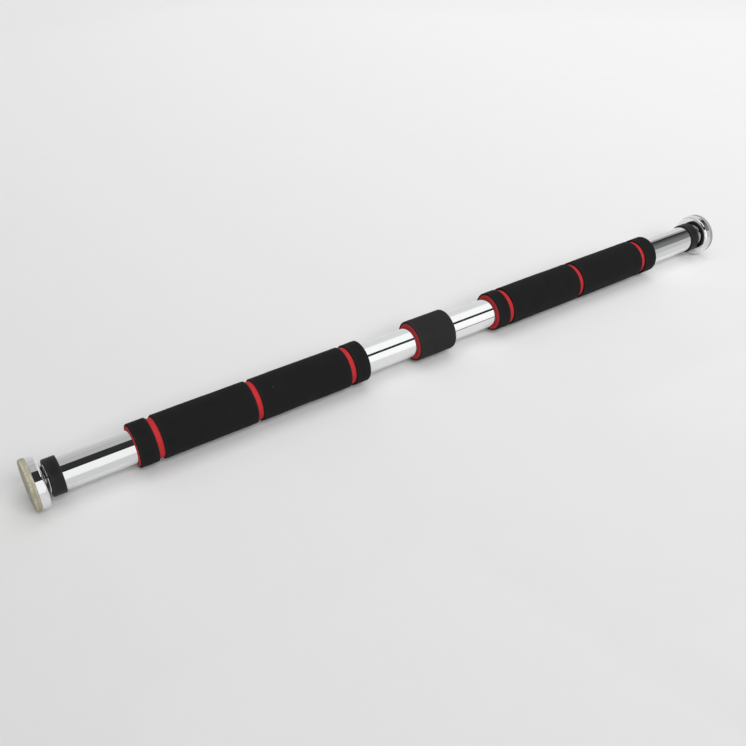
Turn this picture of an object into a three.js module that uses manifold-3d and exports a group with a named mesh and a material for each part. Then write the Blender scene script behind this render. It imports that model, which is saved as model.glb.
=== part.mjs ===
// A telescopic pull up bar for a doorway.
//
// The bar is a turnbuckle. A chromed main tube holds a threaded sleeve in each end, right-handed on the
// right and left-handed on the left. A threaded screw tube runs in each sleeve and carries a round foot.
// Turning a foot against the main tube winds it outwards until both feet press on the door frame.
//
// Units are millimetres. +X runs along the bar from the left foot to the right foot and +Z is up.
// The origin is on the bar's axis, half way between the two pad faces.

import * as THREE from "three";
import { mergeVertices } from "three/addons/utils/BufferGeometryUtils.js";
import Module from "manifold-3d";

const wasm = await Module();
wasm.setup();

// ---------------------------------------------------------------- driving dimensions

const BAR_LENGTH = 854; // over both pad faces, almost wound in
const TUBE_RADIUS = 16; // main tube, outside
const TUBE_WALL = 1.2;
const FOOT_RADIUS = 24.5;
const GAP = 0.3; // left between pieces that touch on the real bar

// The foot, measured inwards from the pad's outer face.
const PAD_THICKNESS = 5.5; // the part that stands out of the cup
const CUP_DEPTH = 8.5;
const CUP_WALL = 1.6;
const CUP_FLOOR = 2;
const CUP_EDGE = 2.8; // rounding of the cup's back edge
const PAD_SPIGOT_DEPTH = 6.2; // the part of the pad that sits in the cup
const PAD_TAPER = 0.4; // radius lost between the cup and the pad's face, so that it leaves its mould
const PAD_EDGE = 1.2;

// The plastic collar that caps the end of the main tube.
const NECK_LENGTH = 3.7; // screw tube in view between collar and cup
const COLLAR_LENGTH = 12.2;
const COLLAR_RADIUS = 17.5;
const COLLAR_EDGE = 1.4;
const COLLAR_END_WALL = 3.2;

// The screw.
const THREAD_PITCH = 3;
const THREAD_CREST = 13.3;
const THREAD_ROOT = 12.1;
const THREAD_CLEARANCE = 0.4; // radial, between screw and nut
const THREAD_RELIEF = 0.1; // keeps plain stretches clear of crests and roots
const RUN_IN_TURNS = 3; // turns of the thread's shape that lie hidden before its first full turn
const SCREW_BORE = 10.3;
const NUT_LENGTH = 24;
const TRAVEL_OUT = 223; // how far each foot winds out: 1300 mm over the pads, both ends fully out
const BUSH_LENGTH = 24;
const STOP_RING_LENGTH = 4;
const TAIL_END = 3.5; // screw tube beyond the stop ring
const THREAD_BEVEL = 1;

// The screw that holds the foot, and the plug that it turns into.
const FOOT_SCREW_RADIUS = 4;
const FOOT_SCREW_HEAD_RADIUS = 7;
const FOOT_SCREW_HEAD = 3;
const FOOT_SCREW_SOCKET = 2.9;
const SOCKET_FLOOR = 0.6; // steel left below the hexagon socket
const SHANK_BEVEL = 0.8;
const PLUG_LENGTH = 20;
const PLUG_SPARE = 2; // length of the plug that the screw leaves free
const SMALL_BEVEL = 0.6; // on the other turned edges inside the bar

// Foam, measured from the middle of the foam pieces.
const FOAM_OFFSET = -1.6; // the grips sit a little to the left of the bar's middle
const GRIP_INNER_END = { left: 83.6, right: 84.8 }; // foam is cut to length by hand
const GRIP_OUTER_END = 329.6;
const GRIP_GROOVES = [103.1, 208, 308.7];
const GROOVE_WIDTH = 5.5;
const GRIP_RADIUS = 21.55;
const RING_LENGTH = 45.6; // the middle ring, which sits at the bar's middle
const RING_RADIUS = 22;
const FOAM_CORE_RADIUS = 19.5;
const FOAM_EDGE = 1.1;
const CORE_OVERHANG = 0.2; // red core beyond the black foam at each end
const CORE_EDGE = 0.3;

// How many flats stand for a full circle. A flat, not a corner, faces down.
const ROUND = 24;
const SCREW_SIDES = 16;
const SMALL_ROUND = 16;

// ---------------------------------------------------------------- places along the right half of the bar

const PAD_FACE = BAR_LENGTH / 2;
const CUP_RIM = PAD_FACE - PAD_THICKNESS;
const CUP_BACK = CUP_RIM - CUP_DEPTH;
const COLLAR_FACE = CUP_BACK - NECK_LENGTH;
const TUBE_END = COLLAR_FACE - COLLAR_END_WALL - GAP;
const TUBE_BORE = TUBE_RADIUS - TUBE_WALL;
const SCREW_END = CUP_BACK - GAP;
const NUT_START = TUBE_END - GAP - NUT_LENGTH;
const THREAD_START = NUT_START - TRAVEL_OUT; // the bush behind it then stops against the nut
const BUSH_START = THREAD_START - GAP - BUSH_LENGTH;
const STOP_RING_START = BUSH_START - GAP - STOP_RING_LENGTH;
const SCREW_START = STOP_RING_START - TAIL_END;
const CUP_INSIDE = CUP_BACK + CUP_FLOOR;

// ---------------------------------------------------------------- materials

const chrome = (colour = 0xd4d6d8, roughness = 0.08) =>
  new THREE.MeshStandardMaterial({ color: colour, roughness, metalness: 1 });
const steel = () => chrome(0x9a9c9e, 0.35);
const blackPlastic = () => new THREE.MeshStandardMaterial({ color: 0x232323, roughness: 0.5, metalness: 0 });
const nylon = () => new THREE.MeshStandardMaterial({ color: 0xe4e0d6, roughness: 0.5, metalness: 0 });
const blackFoam = () => new THREE.MeshStandardMaterial({ color: 0x1c1c1c, roughness: 0.95, metalness: 0 });
const redFoam = () => new THREE.MeshStandardMaterial({ color: 0xc41f25, roughness: 0.9, metalness: 0 });
const padRubber = () => new THREE.MeshStandardMaterial({ color: 0xa8a283, roughness: 0.75, metalness: 0 });

// ---------------------------------------------------------------- geometry helpers

// A solid turned about the X axis. The outline is a list of [place along X, radius], closed on itself.
function turned(outline, sides = ROUND) {
  const points = outline.map(([along, radius]) => new THREE.Vector2(radius, along));
  if (THREE.ShapeUtils.area(points) < 0) points.reverse();
  points.push(points[0].clone());
  const geometry = new THREE.LatheGeometry(points, sides, Math.PI / sides);
  geometry.rotateZ(-Math.PI / 2);
  return geometry;
}

// A plain sleeve with chamfered outer corners.
function sleeve(start, end, bore, radius, edge = 0, sides = ROUND) {
  const corners = edge
    ? [[start, radius - edge], [start + edge, radius], [end - edge, radius], [end, radius - edge]]
    : [[start, radius], [end, radius]];
  return turned([[start, bore], ...corners, [end, bore]], sides);
}

// Points of a quarter circle in [along, radius] form, about a centre, between two angles in degrees.
function arc(centre, size, from, to, steps) {
  return Array.from({ length: steps + 1 }, (_, step) => {
    const angle = THREE.MathUtils.degToRad(THREE.MathUtils.lerp(from, to, step / steps));
    return [centre[0] + size * Math.cos(angle), centre[1] + size * Math.sin(angle)];
  });
}

// A closed geometry as a solid that can be joined and cut.
function solid(geometry) {
  const bare = new THREE.BufferGeometry();
  bare.setAttribute("position", geometry.getAttribute("position"));
  bare.setIndex(geometry.index);
  const merged = mergeVertices(bare, 1e-3);
  const vertProperties = new Float32Array(merged.getAttribute("position").array);
  const triVerts = new Uint32Array(merged.index.array);
  return new wasm.Manifold(new wasm.Mesh({ numProp: 3, vertProperties, triVerts }));
}

// A cut or joined solid as a geometry again.
function geometryOf(body) {
  const mesh = body.getMesh();
  const geometry = new THREE.BufferGeometry();
  geometry.setAttribute("position", new THREE.BufferAttribute(mesh.vertProperties, 3));
  geometry.setIndex(new THREE.BufferAttribute(mesh.triVerts, 1));
  geometry.computeVertexNormals();
  return geometry;
}

// A right-handed V thread as a closed rod about the X axis, from start to at least end.
// Each column climbs by rows of half a pitch that alternate between crest and root. Each next column is
// shifted along by its share of the pitch, so the last column meets the first one two rows further on.
function threadRod(start, end, crest, root) {
  const rowHeight = THREAD_PITCH / 2;
  const rows = 2 * Math.ceil((end - start) / THREAD_PITCH) + 2;
  const positions = [];
  const columnStart = [];
  for (let column = 0; column < SCREW_SIDES; column++) {
    columnStart.push(positions.length / 3);
    const angle = ((column + 0.5) / SCREW_SIDES) * 2 * Math.PI;
    const columnRows = column === 0 ? rows + 2 : rows;
    for (let row = 0; row <= columnRows; row++) {
      const radius = row % 2 === 0 ? crest : root;
      const along = start + row * rowHeight + (column / SCREW_SIDES) * THREAD_PITCH;
      positions.push(along, radius * Math.sin(angle), -radius * Math.cos(angle));
    }
  }
  const vertex = (column, row) =>
    column < SCREW_SIDES ? columnStart[column] + row : columnStart[0] + row + 2;

  const faces = [];
  for (let column = 0; column < SCREW_SIDES; column++) {
    for (let row = 0; row < rows; row++) {
      const near = [vertex(column, row), vertex(column, row + 1)];
      const far = [vertex(column + 1, row), vertex(column + 1, row + 1)];
      faces.push(near[0], far[0], far[1], near[0], far[1], near[1]);
    }
  }

  // Each end is a fan from a point on the axis to the last helical row and the step back to its start.
  const closeEnd = (row, flip) => {
    const centre = positions.length / 3;
    positions.push(start + row * rowHeight + rowHeight, 0, 0);
    const rim = [];
    for (let column = 0; column <= SCREW_SIDES; column++) rim.push(vertex(column, row));
    rim.push(vertex(0, row + 1));
    rim.forEach((point, index) => {
      const next = rim[(index + 1) % rim.length];
      faces.push(centre, ...(flip ? [next, point] : [point, next]));
    });
  };
  closeEnd(0, true);
  closeEnd(rows, false);

  const geometry = new THREE.BufferGeometry();
  geometry.setAttribute("position", new THREE.Float32BufferAttribute(positions, 3));
  geometry.setIndex(faces);
  return geometry;
}

function piece(name, geometry, material) {
  const mesh = new THREE.Mesh(geometry, material);
  mesh.name = name;
  return mesh;
}

// ---------------------------------------------------------------- main tube and what is fixed to it

function mainTube() {
  return piece("main_tube", sleeve(-TUBE_END, TUBE_END, TUBE_BORE, TUBE_RADIUS), chrome());
}

// A cap over the tube's end, with a hole in its end wall that clears the screw.
function endCollar(side) {
  const start = COLLAR_FACE - COLLAR_LENGTH;
  const roundCentre = [COLLAR_FACE - COLLAR_EDGE, COLLAR_RADIUS - COLLAR_EDGE];
  const outline = [
    [start, TUBE_RADIUS + GAP],
    [start, COLLAR_RADIUS - GAP],
    [start + GAP, COLLAR_RADIUS],
    ...arc(roundCentre, COLLAR_EDGE, 90, 0, 2),
    [COLLAR_FACE, THREAD_CREST + 2 * GAP],
    [TUBE_END + GAP, THREAD_CREST + 2 * GAP],
    [TUBE_END + GAP, TUBE_RADIUS + GAP],
  ];
  return piece(`end_collar_${side}`, turned(outline), blackPlastic());
}

const THREAD_ROD_START = THREAD_START - RUN_IN_TURNS * THREAD_PITCH;

// The threaded sleeve that the screw tube turns in.
function threadNut(side) {
  const blank = solid(turned([
    [NUT_START, 0],
    [NUT_START, TUBE_BORE - GAP],
    [NUT_START + NUT_LENGTH, TUBE_BORE - GAP],
    [NUT_START + NUT_LENGTH, 0],
  ]));
  // The cutting thread starts a whole number of turns along the screw's thread, so that the two mesh.
  const turnsToNut = Math.floor((NUT_START - THREAD_ROD_START) / THREAD_PITCH) - 2;
  const inside = solid(threadRod(
    THREAD_ROD_START + turnsToNut * THREAD_PITCH,
    NUT_START + NUT_LENGTH + 2 * THREAD_PITCH,
    THREAD_CREST + THREAD_CLEARANCE,
    THREAD_ROOT + THREAD_CLEARANCE,
  ));
  return piece(`thread_nut_${side}`, geometryOf(blank.subtract(inside)), steel());
}

// ---------------------------------------------------------------- screw tube and foot

// A tube with a rolled thread, and a plain tail inside the main tube that carries the bush.
function screwTube(side) {
  const tailRadius = THREAD_ROOT - THREAD_RELIEF;
  const blankRadius = THREAD_CREST + THREAD_RELIEF;
  const blank = solid(turned([
    [SCREW_START, SCREW_BORE],
    [SCREW_START, tailRadius],
    [THREAD_START, tailRadius],
    [THREAD_START + THREAD_BEVEL, blankRadius],
    [SCREW_END - THREAD_BEVEL, blankRadius],
    [SCREW_END, THREAD_ROOT],
    [SCREW_END, SCREW_BORE],
  ], SCREW_SIDES));
  const threadEnd = SCREW_END + 2 * THREAD_PITCH;
  const thread = solid(threadRod(THREAD_ROD_START, threadEnd, THREAD_CREST, THREAD_ROOT));
  const tail = solid(turned([
    [SCREW_START, SCREW_BORE],
    [SCREW_START, tailRadius],
    [THREAD_START - THREAD_PITCH / 2, tailRadius],
    [THREAD_START - THREAD_PITCH / 2, SCREW_BORE],
  ], SCREW_SIDES));
  return piece(`screw_tube_${side}`, geometryOf(thread.intersect(blank).add(tail)), chrome());
}

// The bush sits between the end of the thread and the stop ring.
function guideBush(side) {
  const end = BUSH_START + BUSH_LENGTH;
  const bore = THREAD_ROOT + GAP;
  const geometry = sleeve(BUSH_START, end, bore, TUBE_BORE - GAP, SMALL_BEVEL, SMALL_ROUND);
  return piece(`guide_bush_${side}`, geometry, nylon());
}

function stopRing(side) {
  const end = STOP_RING_START + STOP_RING_LENGTH;
  const radius = TUBE_BORE - 3 * GAP;
  const geometry = sleeve(STOP_RING_START, end, THREAD_ROOT + GAP, radius, SMALL_BEVEL, SMALL_ROUND);
  return piece(`stop_ring_${side}`, geometry, steel());
}

function endPlug(side) {
  const end = SCREW_END - GAP;
  const bore = FOOT_SCREW_RADIUS + GAP;
  const geometry = sleeve(end - PLUG_LENGTH, end, bore, SCREW_BORE - GAP, SMALL_BEVEL, SCREW_SIDES);
  return piece(`end_plug_${side}`, geometry, steel());
}

// A pressed cup with a flat back, a rounded back edge and a recess for the pad.
function footCup(side) {
  const roundCentre = [CUP_BACK + CUP_EDGE, FOOT_RADIUS - CUP_EDGE];
  const outline = [
    [CUP_BACK, FOOT_SCREW_RADIUS + GAP],
    ...arc(roundCentre, CUP_EDGE, 180, 90, 3),
    [CUP_RIM, FOOT_RADIUS],
    [CUP_RIM, FOOT_RADIUS - CUP_WALL],
    [CUP_INSIDE, FOOT_RADIUS - CUP_WALL],
    [CUP_INSIDE, FOOT_SCREW_RADIUS + GAP],
  ];
  return piece(`foot_cup_${side}`, turned(outline), chrome());
}

// A flat-headed screw with a hexagon socket.
function footScrew(side) {
  const headStart = CUP_INSIDE + GAP;
  const headEnd = headStart + FOOT_SCREW_HEAD;
  const shankStart = SCREW_END - PLUG_LENGTH + PLUG_SPARE;
  const body = solid(turned([
    [shankStart, 0],
    [shankStart, FOOT_SCREW_RADIUS - SHANK_BEVEL],
    [shankStart + SHANK_BEVEL, FOOT_SCREW_RADIUS],
    [headStart, FOOT_SCREW_RADIUS],
    [headStart, FOOT_SCREW_HEAD_RADIUS],
    [headEnd - SMALL_BEVEL, FOOT_SCREW_HEAD_RADIUS],
    [headEnd, FOOT_SCREW_HEAD_RADIUS - SMALL_BEVEL],
    [headEnd, 0],
  ], SMALL_ROUND));
  const socket = solid(turned([
    [headStart + SOCKET_FLOOR, 0],
    [headStart + SOCKET_FLOOR, FOOT_SCREW_SOCKET],
    [headEnd + GAP, FOOT_SCREW_SOCKET],
    [headEnd + GAP, 0],
  ], 6));
  return piece(`foot_screw_${side}`, geometryOf(body.subtract(socket)), steel());
}

// The anti-slip pad: a disc with a spigot in the cup and a pocket that clears the screw head.
function footPad(side) {
  const spigotRadius = FOOT_RADIUS - CUP_WALL - GAP;
  const spigotStart = CUP_RIM - PAD_SPIGOT_DEPTH;
  const pocketEnd = CUP_INSIDE + 2 * GAP + FOOT_SCREW_HEAD;
  const pocketRadius = FOOT_SCREW_HEAD_RADIUS + 2 * GAP;
  const outline = [
    [spigotStart, pocketRadius],
    [spigotStart, spigotRadius],
    [CUP_RIM + GAP, spigotRadius],
    [CUP_RIM + GAP, FOOT_RADIUS],
    [PAD_FACE - PAD_EDGE, FOOT_RADIUS - PAD_TAPER],
    [PAD_FACE, FOOT_RADIUS - PAD_TAPER - PAD_EDGE],
    [PAD_FACE, 0],
    [pocketEnd, 0],
    [pocketEnd, pocketRadius],
  ];
  return piece(`foot_pad_${side}`, turned(outline), padRubber());
}

// Everything that is made for the right end and mirrored for the left one.
function barEnd(side) {
  const end = new THREE.Group();
  end.add(endCollar(side), threadNut(side), screwTube(side), guideBush(side), stopRing(side));
  end.add(endPlug(side), footCup(side), footScrew(side), footPad(side));
  if (side === "left") end.scale.x = -1;
  return end;
}

// ---------------------------------------------------------------- foam

const foamBore = TUBE_RADIUS + GAP;
const shellBore = FOAM_CORE_RADIUS + GAP;

function foamCore(name, start, end) {
  const coreStart = start - CORE_OVERHANG;
  const coreEnd = end + CORE_OVERHANG;
  return piece(name, sleeve(coreStart, coreEnd, foamBore, FOAM_CORE_RADIUS, CORE_EDGE), redFoam());
}

// The black foam of one grip, cut into four lengths by the grooves.
function grip(side) {
  const group = new THREE.Group();
  const innerEnd = GRIP_INNER_END[side];
  group.add(foamCore(`grip_core_${side}`, innerEnd, GRIP_OUTER_END));
  const names = ["band_inner", "sleeve_inner", "sleeve_outer", "band_outer"];
  names.forEach((name, index) => {
    const last = index === GRIP_GROOVES.length;
    const start = index === 0 ? innerEnd : GRIP_GROOVES[index - 1] + GROOVE_WIDTH / 2;
    const end = last ? GRIP_OUTER_END : GRIP_GROOVES[index] - GROOVE_WIDTH / 2;
    const geometry = sleeve(start, end, shellBore, GRIP_RADIUS, FOAM_EDGE);
    group.add(piece(`grip_${side}_${name}`, geometry, blackFoam()));
  });
  if (side === "left") group.scale.x = -1;
  return group;
}

function middleRing() {
  const group = new THREE.Group();
  const half = RING_LENGTH / 2;
  group.add(foamCore("ring_core", -half, half));
  group.add(piece("ring_shell", sleeve(-half, half, shellBore, RING_RADIUS, FOAM_EDGE), blackFoam()));
  return group;
}

// ---------------------------------------------------------------- the bar

const bar = new THREE.Group();
const foam = new THREE.Group();
foam.position.x = FOAM_OFFSET;
foam.add(grip("left"), grip("right"));
bar.add(mainTube(), barEnd("left"), barEnd("right"), foam, middleRing());

export default bar;
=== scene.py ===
# %% [markdown]
# # A telescopic pull up bar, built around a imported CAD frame
#
# The real object is a doorway bar. A chromed tube carries two long foam grips and a short foam ring, and
# at each end a chromed screw tube winds out of it and pushes a round padded foot against the door frame.
#
# The CAD model already says where every piece is and how it moves, but its solids are many-sided and
# plain. This lesson builds each visible piece again as a fine, smooth mesh in the same place, gives it a
# finish, and ties it to the CAD body that it moves with.

# %% Load the frame
import math

import bpy
from mathutils import Matrix, Vector, noise


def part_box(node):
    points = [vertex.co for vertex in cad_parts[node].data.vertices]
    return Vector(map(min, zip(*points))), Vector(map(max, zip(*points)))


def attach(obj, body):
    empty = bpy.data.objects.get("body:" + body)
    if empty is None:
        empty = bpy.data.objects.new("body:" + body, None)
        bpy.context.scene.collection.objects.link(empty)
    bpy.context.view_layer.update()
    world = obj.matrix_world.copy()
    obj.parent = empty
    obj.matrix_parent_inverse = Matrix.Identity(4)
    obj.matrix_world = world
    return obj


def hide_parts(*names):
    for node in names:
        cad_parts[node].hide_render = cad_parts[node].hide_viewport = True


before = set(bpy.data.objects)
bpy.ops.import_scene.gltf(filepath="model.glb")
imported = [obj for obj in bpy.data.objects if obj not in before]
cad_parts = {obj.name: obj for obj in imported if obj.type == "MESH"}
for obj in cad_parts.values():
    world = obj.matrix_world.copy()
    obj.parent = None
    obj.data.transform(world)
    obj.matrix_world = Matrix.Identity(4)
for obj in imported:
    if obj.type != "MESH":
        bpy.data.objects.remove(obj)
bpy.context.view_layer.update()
SIDES = ("left", "right")

# %% [markdown]
# ## Sizes from the frame
#
# Nothing is measured twice. Every place along the bar is read from the box of its CAD node. The CAD
# solids have 24 flats for a full circle with a flat facing down, so a box gives the distance to a flat,
# and the real radius is that distance divided by the cosine of half a flat's angle.
#
# Most round pieces are made for the right end and mirrored for the left, so the right-hand nodes give
# the places for both.

# %% Read places and radii
MM = 0.001
CAD_FLATS = 24
SCREW_FLATS = 16


def span(node):
    """Where a node starts and ends along the bar."""
    low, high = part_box(node)
    return low[0], high[0]


def radius_of(node, flats=CAD_FLATS):
    """The radius of the circle that a faceted round node stands for."""
    low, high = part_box(node)
    return (high[2] - low[2]) / 2 / math.cos(math.pi / flats)


TUBE_END = span("main_tube")[1]
TUBE_RADIUS = radius_of("main_tube")
TUBE_WALL = 1.2 * MM
TUBE_BORE = TUBE_RADIUS - TUBE_WALL
FOOT_RADIUS = radius_of("foot_pad_right")
COLLAR_RADIUS = radius_of("end_collar_right")
CLEARANCE = 0.3 * MM
THREAD_PITCH = 3 * MM
THREAD_CREST = radius_of("screw_tube_right", SCREW_FLATS)
THREAD_DEPTH = 1.2 * MM
THREAD_CLEARANCE = 0.4 * MM
SCREW_BORE = radius_of("end_plug_right", SCREW_FLATS) + CLEARANCE
print(f"tube radius {TUBE_RADIUS / MM:.2f} mm, foot radius {FOOT_RADIUS / MM:.2f} mm")
print(f"thread crest radius {THREAD_CREST / MM:.2f} mm")

# %% [markdown]
# ## The camera
#
# The bar lies on its two feet on a table, and is seen from the front left and from above with a normal
# lens. A camera is only a place, two angles and a focal length, so the script keeps those four.

# %% Camera
CAMERA_PLACE = Vector((-0.4746, -0.6269, 0.5376))
CAMERA_TURN = math.radians(-32.86)
CAMERA_DOWN = math.radians(36.9)
CAMERA_LENS = 42.6

camera_data = bpy.data.cameras.new("camera")
camera_data.lens = CAMERA_LENS
camera_data.sensor_width = 36
camera_data.clip_start = 0.01
camera = bpy.data.objects.new("camera", camera_data)
camera.location = CAMERA_PLACE
camera.rotation_euler = (math.pi / 2 - CAMERA_DOWN, 0, CAMERA_TURN)
bpy.context.collection.objects.link(camera)
bpy.context.scene.camera = camera
print("camera stands", round(CAMERA_PLACE.length, 3), "m from the middle of the bar")

# %% [markdown]
# ## Round meshes from outlines
#
# Every piece of this object is turned: it is round about the bar's axis. So one helper makes them all. It
# takes an outline as a closed loop of corners, each with its place along the bar, its radius and how
# much it is rounded, and spins the loop about the axis.
#
# Rounding each corner in the outline, and not with a modifier afterwards, keeps each edge at its own
# true radius, and real edges are what catch the light.

# %% Outline helpers
ROUND_STEPS = 6


def rounded(corners, steps=ROUND_STEPS):
    """A closed outline of (along, radius, rounding) corners as points (along, radius, edge flag)."""
    points = []
    for index, (along, radius, rounding) in enumerate(corners):
        corner = Vector((along, radius))
        if rounding <= 0:
            points.append((along, radius, 0.0))
            continue
        before = (Vector(corners[index - 1][:2]) - corner).normalized()
        after = (Vector(corners[(index + 1) % len(corners)][:2]) - corner).normalized()
        half = before.angle(after) / 2
        centre = corner + (before + after).normalized() * rounding / math.sin(half)
        start = corner + before * rounding / math.tan(half) - centre
        end = corner + after * rounding / math.tan(half) - centre
        for step in range(steps + 1):
            part = step / steps
            turn = start.angle_signed(end) * part
            spoke = Matrix.Rotation(-turn, 2) @ start
            points.append((centre.x + spoke.x, centre.y + spoke.y, 1.0))
    return points


def resampled(points, longest):
    """The same closed outline with points added so that no stretch is longer than longest."""
    finer = []
    for index, (along, radius, flag) in enumerate(points):
        next_along, next_radius, _ = points[(index + 1) % len(points)]
        length = math.hypot(next_along - along, next_radius - radius)
        parts = max(1, math.ceil(length / longest))
        finer.append((along, radius, flag))
        for part in range(1, parts):
            share = part / parts
            finer.append((
                along + (next_along - along) * share,
                radius + (next_radius - radius) * share,
                0.0,
            ))
    return finer


def edge_values(points, falloff):
    """For each outline point, 1 on a rounded edge and fading to 0 a few falloffs away from it."""
    places = [Vector(point[:2]) for point in points]
    edges = [place for place, point in zip(places, points) if point[2] > 0]
    if not edges:
        return [0.0] * len(points)
    return [math.exp(-min((place - edge).length for edge in edges) / falloff) for place in places]


# %% Spin an outline into a mesh
def signed_area(points):
    """Positive if the closed outline runs anticlockwise in (along, radius)."""
    total = 0.0
    for (along, radius, _), (next_along, next_radius, _) in zip(points, points[1:] + points[:1]):
        total += along * next_radius - next_along * radius
    return total / 2


def spin(name, points, sides=128, mirrored=False, shape=None, edge_falloff=1.2 * MM, crease=40):
    """A closed round mesh about the X axis. shape(place, angle) may return a new radius for a vertex."""
    if signed_area(points) > 0:
        points = points[::-1]
    edges = edge_values(points, edge_falloff)
    vertices, edge_marks, faces = [], [], []
    ring_of = []
    for (along, radius, _), edge in zip(points, edges):
        on_axis = radius < 1e-7
        ring_of.append((len(vertices), 1 if on_axis else sides))
        for step in range(1 if on_axis else sides):
            angle = 2 * math.pi * step / sides
            size = radius if shape is None else shape(along, radius, angle)
            sign = -1 if mirrored else 1
            vertices.append((sign * along, size * math.cos(angle), size * math.sin(angle)))
            edge_marks.append(edge)
    for index, (first, first_count) in enumerate(ring_of):
        second, second_count = ring_of[(index + 1) % len(ring_of)]
        if first_count == 1 and second_count == 1:
            continue
        for step in range(sides):
            turn = (step + 1) % sides
            if first_count == 1:
                face = (first, second + step, second + turn)
            elif second_count == 1:
                face = (first + step, second, first + turn)
            else:
                face = (first + step, second + step, second + turn, first + turn)
            faces.append(face[::-1] if mirrored else face)
    mesh = bpy.data.meshes.new(name)
    mesh.from_pydata(vertices, [], faces)
    mesh.validate()
    mark = mesh.attributes.new("edge", "FLOAT", "POINT")
    mark.data.foreach_set("value", edge_marks)
    mesh.polygons.foreach_set("use_smooth", [True] * len(mesh.polygons))
    mesh.set_sharp_from_angle(angle=math.radians(crease))
    mesh.update()
    made = bpy.data.objects.new(name, mesh)
    bpy.context.collection.objects.link(made)
    return made


def finish_piece(made, body, material, slot, *nodes):
    """Gives a piece its material, its body and the CAD nodes that it stands for. The slot is not used."""
    made.data.materials.clear()
    made.data.materials.append(material)
    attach(made, body)
    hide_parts(*nodes)
    print(f"{made.name}: {len(made.data.polygons)} faces, rides on {body}")
    return made


# %% [markdown]
# ## Finishes as node groups
#
# A real surface is never one flat colour. Five effects turn up again and again on this object: fine
# grain, the open cells of foam, handling marks, worn edges and a little lint. Each is built once here as
# a node group with named inputs, and every material sets its own values.
#
# The groups work in object coordinates. Each piece keeps its mesh where it is on the bar, so object
# coordinates are metres on the real thing, and a grain of half a millimetre is half a millimetre.

# %% Node helpers
def new_group(name, inputs, outputs):
    """An empty shader node group with float inputs, given as (name, default), and typed outputs."""
    group = bpy.data.node_groups.new(name, "ShaderNodeTree")
    for socket_name, default in inputs:
        socket = group.interface.new_socket(socket_name, in_out="INPUT", socket_type="NodeSocketFloat")
        socket.default_value = default
    for socket_name in outputs:
        group.interface.new_socket(socket_name, in_out="OUTPUT", socket_type="NodeSocketFloat")
    return group


def node(tree, kind, settings=None, **values):
    """A new node with plain settings and with values for its inputs, by socket name."""
    made = tree.nodes.new("ShaderNode" + kind)
    for key, value in (settings or {}).items():
        setattr(made, key, value)
    for key, value in values.items():
        made.inputs[key.replace("_", " ")].default_value = value
    return made


def math_node(tree, operation, first, second=None, third=None, clamp=False):
    """A Math node. Each term is a number or an output socket."""
    made = tree.nodes.new("ShaderNodeMath")
    made.operation = operation
    made.use_clamp = clamp
    for index, term in enumerate((first, second, third)):
        if term is None:
            continue
        if isinstance(term, (int, float)):
            made.inputs[index].default_value = term
        else:
            tree.links.new(term, made.inputs[index])
    return made.outputs[0]


def fade(tree, value, low, high, out_low=0.0, out_high=1.0):
    """A Map Range node from value between low and high."""
    made = tree.nodes.new("ShaderNodeMapRange")
    made.interpolation_type = "SMOOTHSTEP"
    terms = (value, low, high, out_low, out_high)
    for index, term in enumerate(terms):
        if isinstance(term, (int, float)):
            made.inputs[index].default_value = term
        else:
            tree.links.new(term, made.inputs[index])
    return made.outputs[0]


def ends(group):
    """The group's input and output nodes and its object coordinates."""
    start = group.nodes.new("NodeGroupInput")
    stop = group.nodes.new("NodeGroupOutput")
    place = group.nodes.new("ShaderNodeTexCoord").outputs["Object"]
    return start.outputs, stop.inputs, place


# %% [markdown]
# ### Fine grain
#
# Moulded plastic, rubber and cast skins all have a fine, even roughness. Two sizes of noise added
# together look less like a computer's than one. The size input is in millimetres.

# %% Fine grain group
def make_fine_grain():
    group = new_group("FineGrain", [("Size mm", 0.5), ("Variation", 0.5)], ["Height", "Tone"])
    start, stop, place = ends(group)
    per_metre = math_node(group, "DIVIDE", 1000.0, start["Size mm"])
    fine = node(group, "TexNoise", Detail=3.0, Roughness=0.6)
    group.links.new(place, fine.inputs["Vector"])
    group.links.new(per_metre, fine.inputs["Scale"])
    broad = node(group, "TexNoise", Detail=2.0, Roughness=0.5)
    group.links.new(place, broad.inputs["Vector"])
    group.links.new(math_node(group, "MULTIPLY", per_metre, 0.08), broad.inputs["Scale"])
    group.links.new(fine.outputs["Fac"], stop["Height"])
    swing = math_node(group, "SUBTRACT", broad.outputs["Fac"], 0.5)
    speckle = math_node(group, "MULTIPLY", math_node(group, "SUBTRACT", fine.outputs["Fac"], 0.5), 0.6)
    both = math_node(group, "MULTIPLY", math_node(group, "ADD", swing, speckle), start["Variation"])
    group.links.new(math_node(group, "ADD", both, 1.0), stop["Tone"])
    return group


# %% [markdown]
# ### Foam cells
#
# The grips are closed-cell rubber foam, skived to size, so the surface shows cut cells: tiny rounded
# pits of mixed sizes with soft walls. A Voronoi texture gives the cells, a noise makes their sizes mix,
# and a slow noise gives the cloudy patches where a hand has polished the foam or left it rough.

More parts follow.
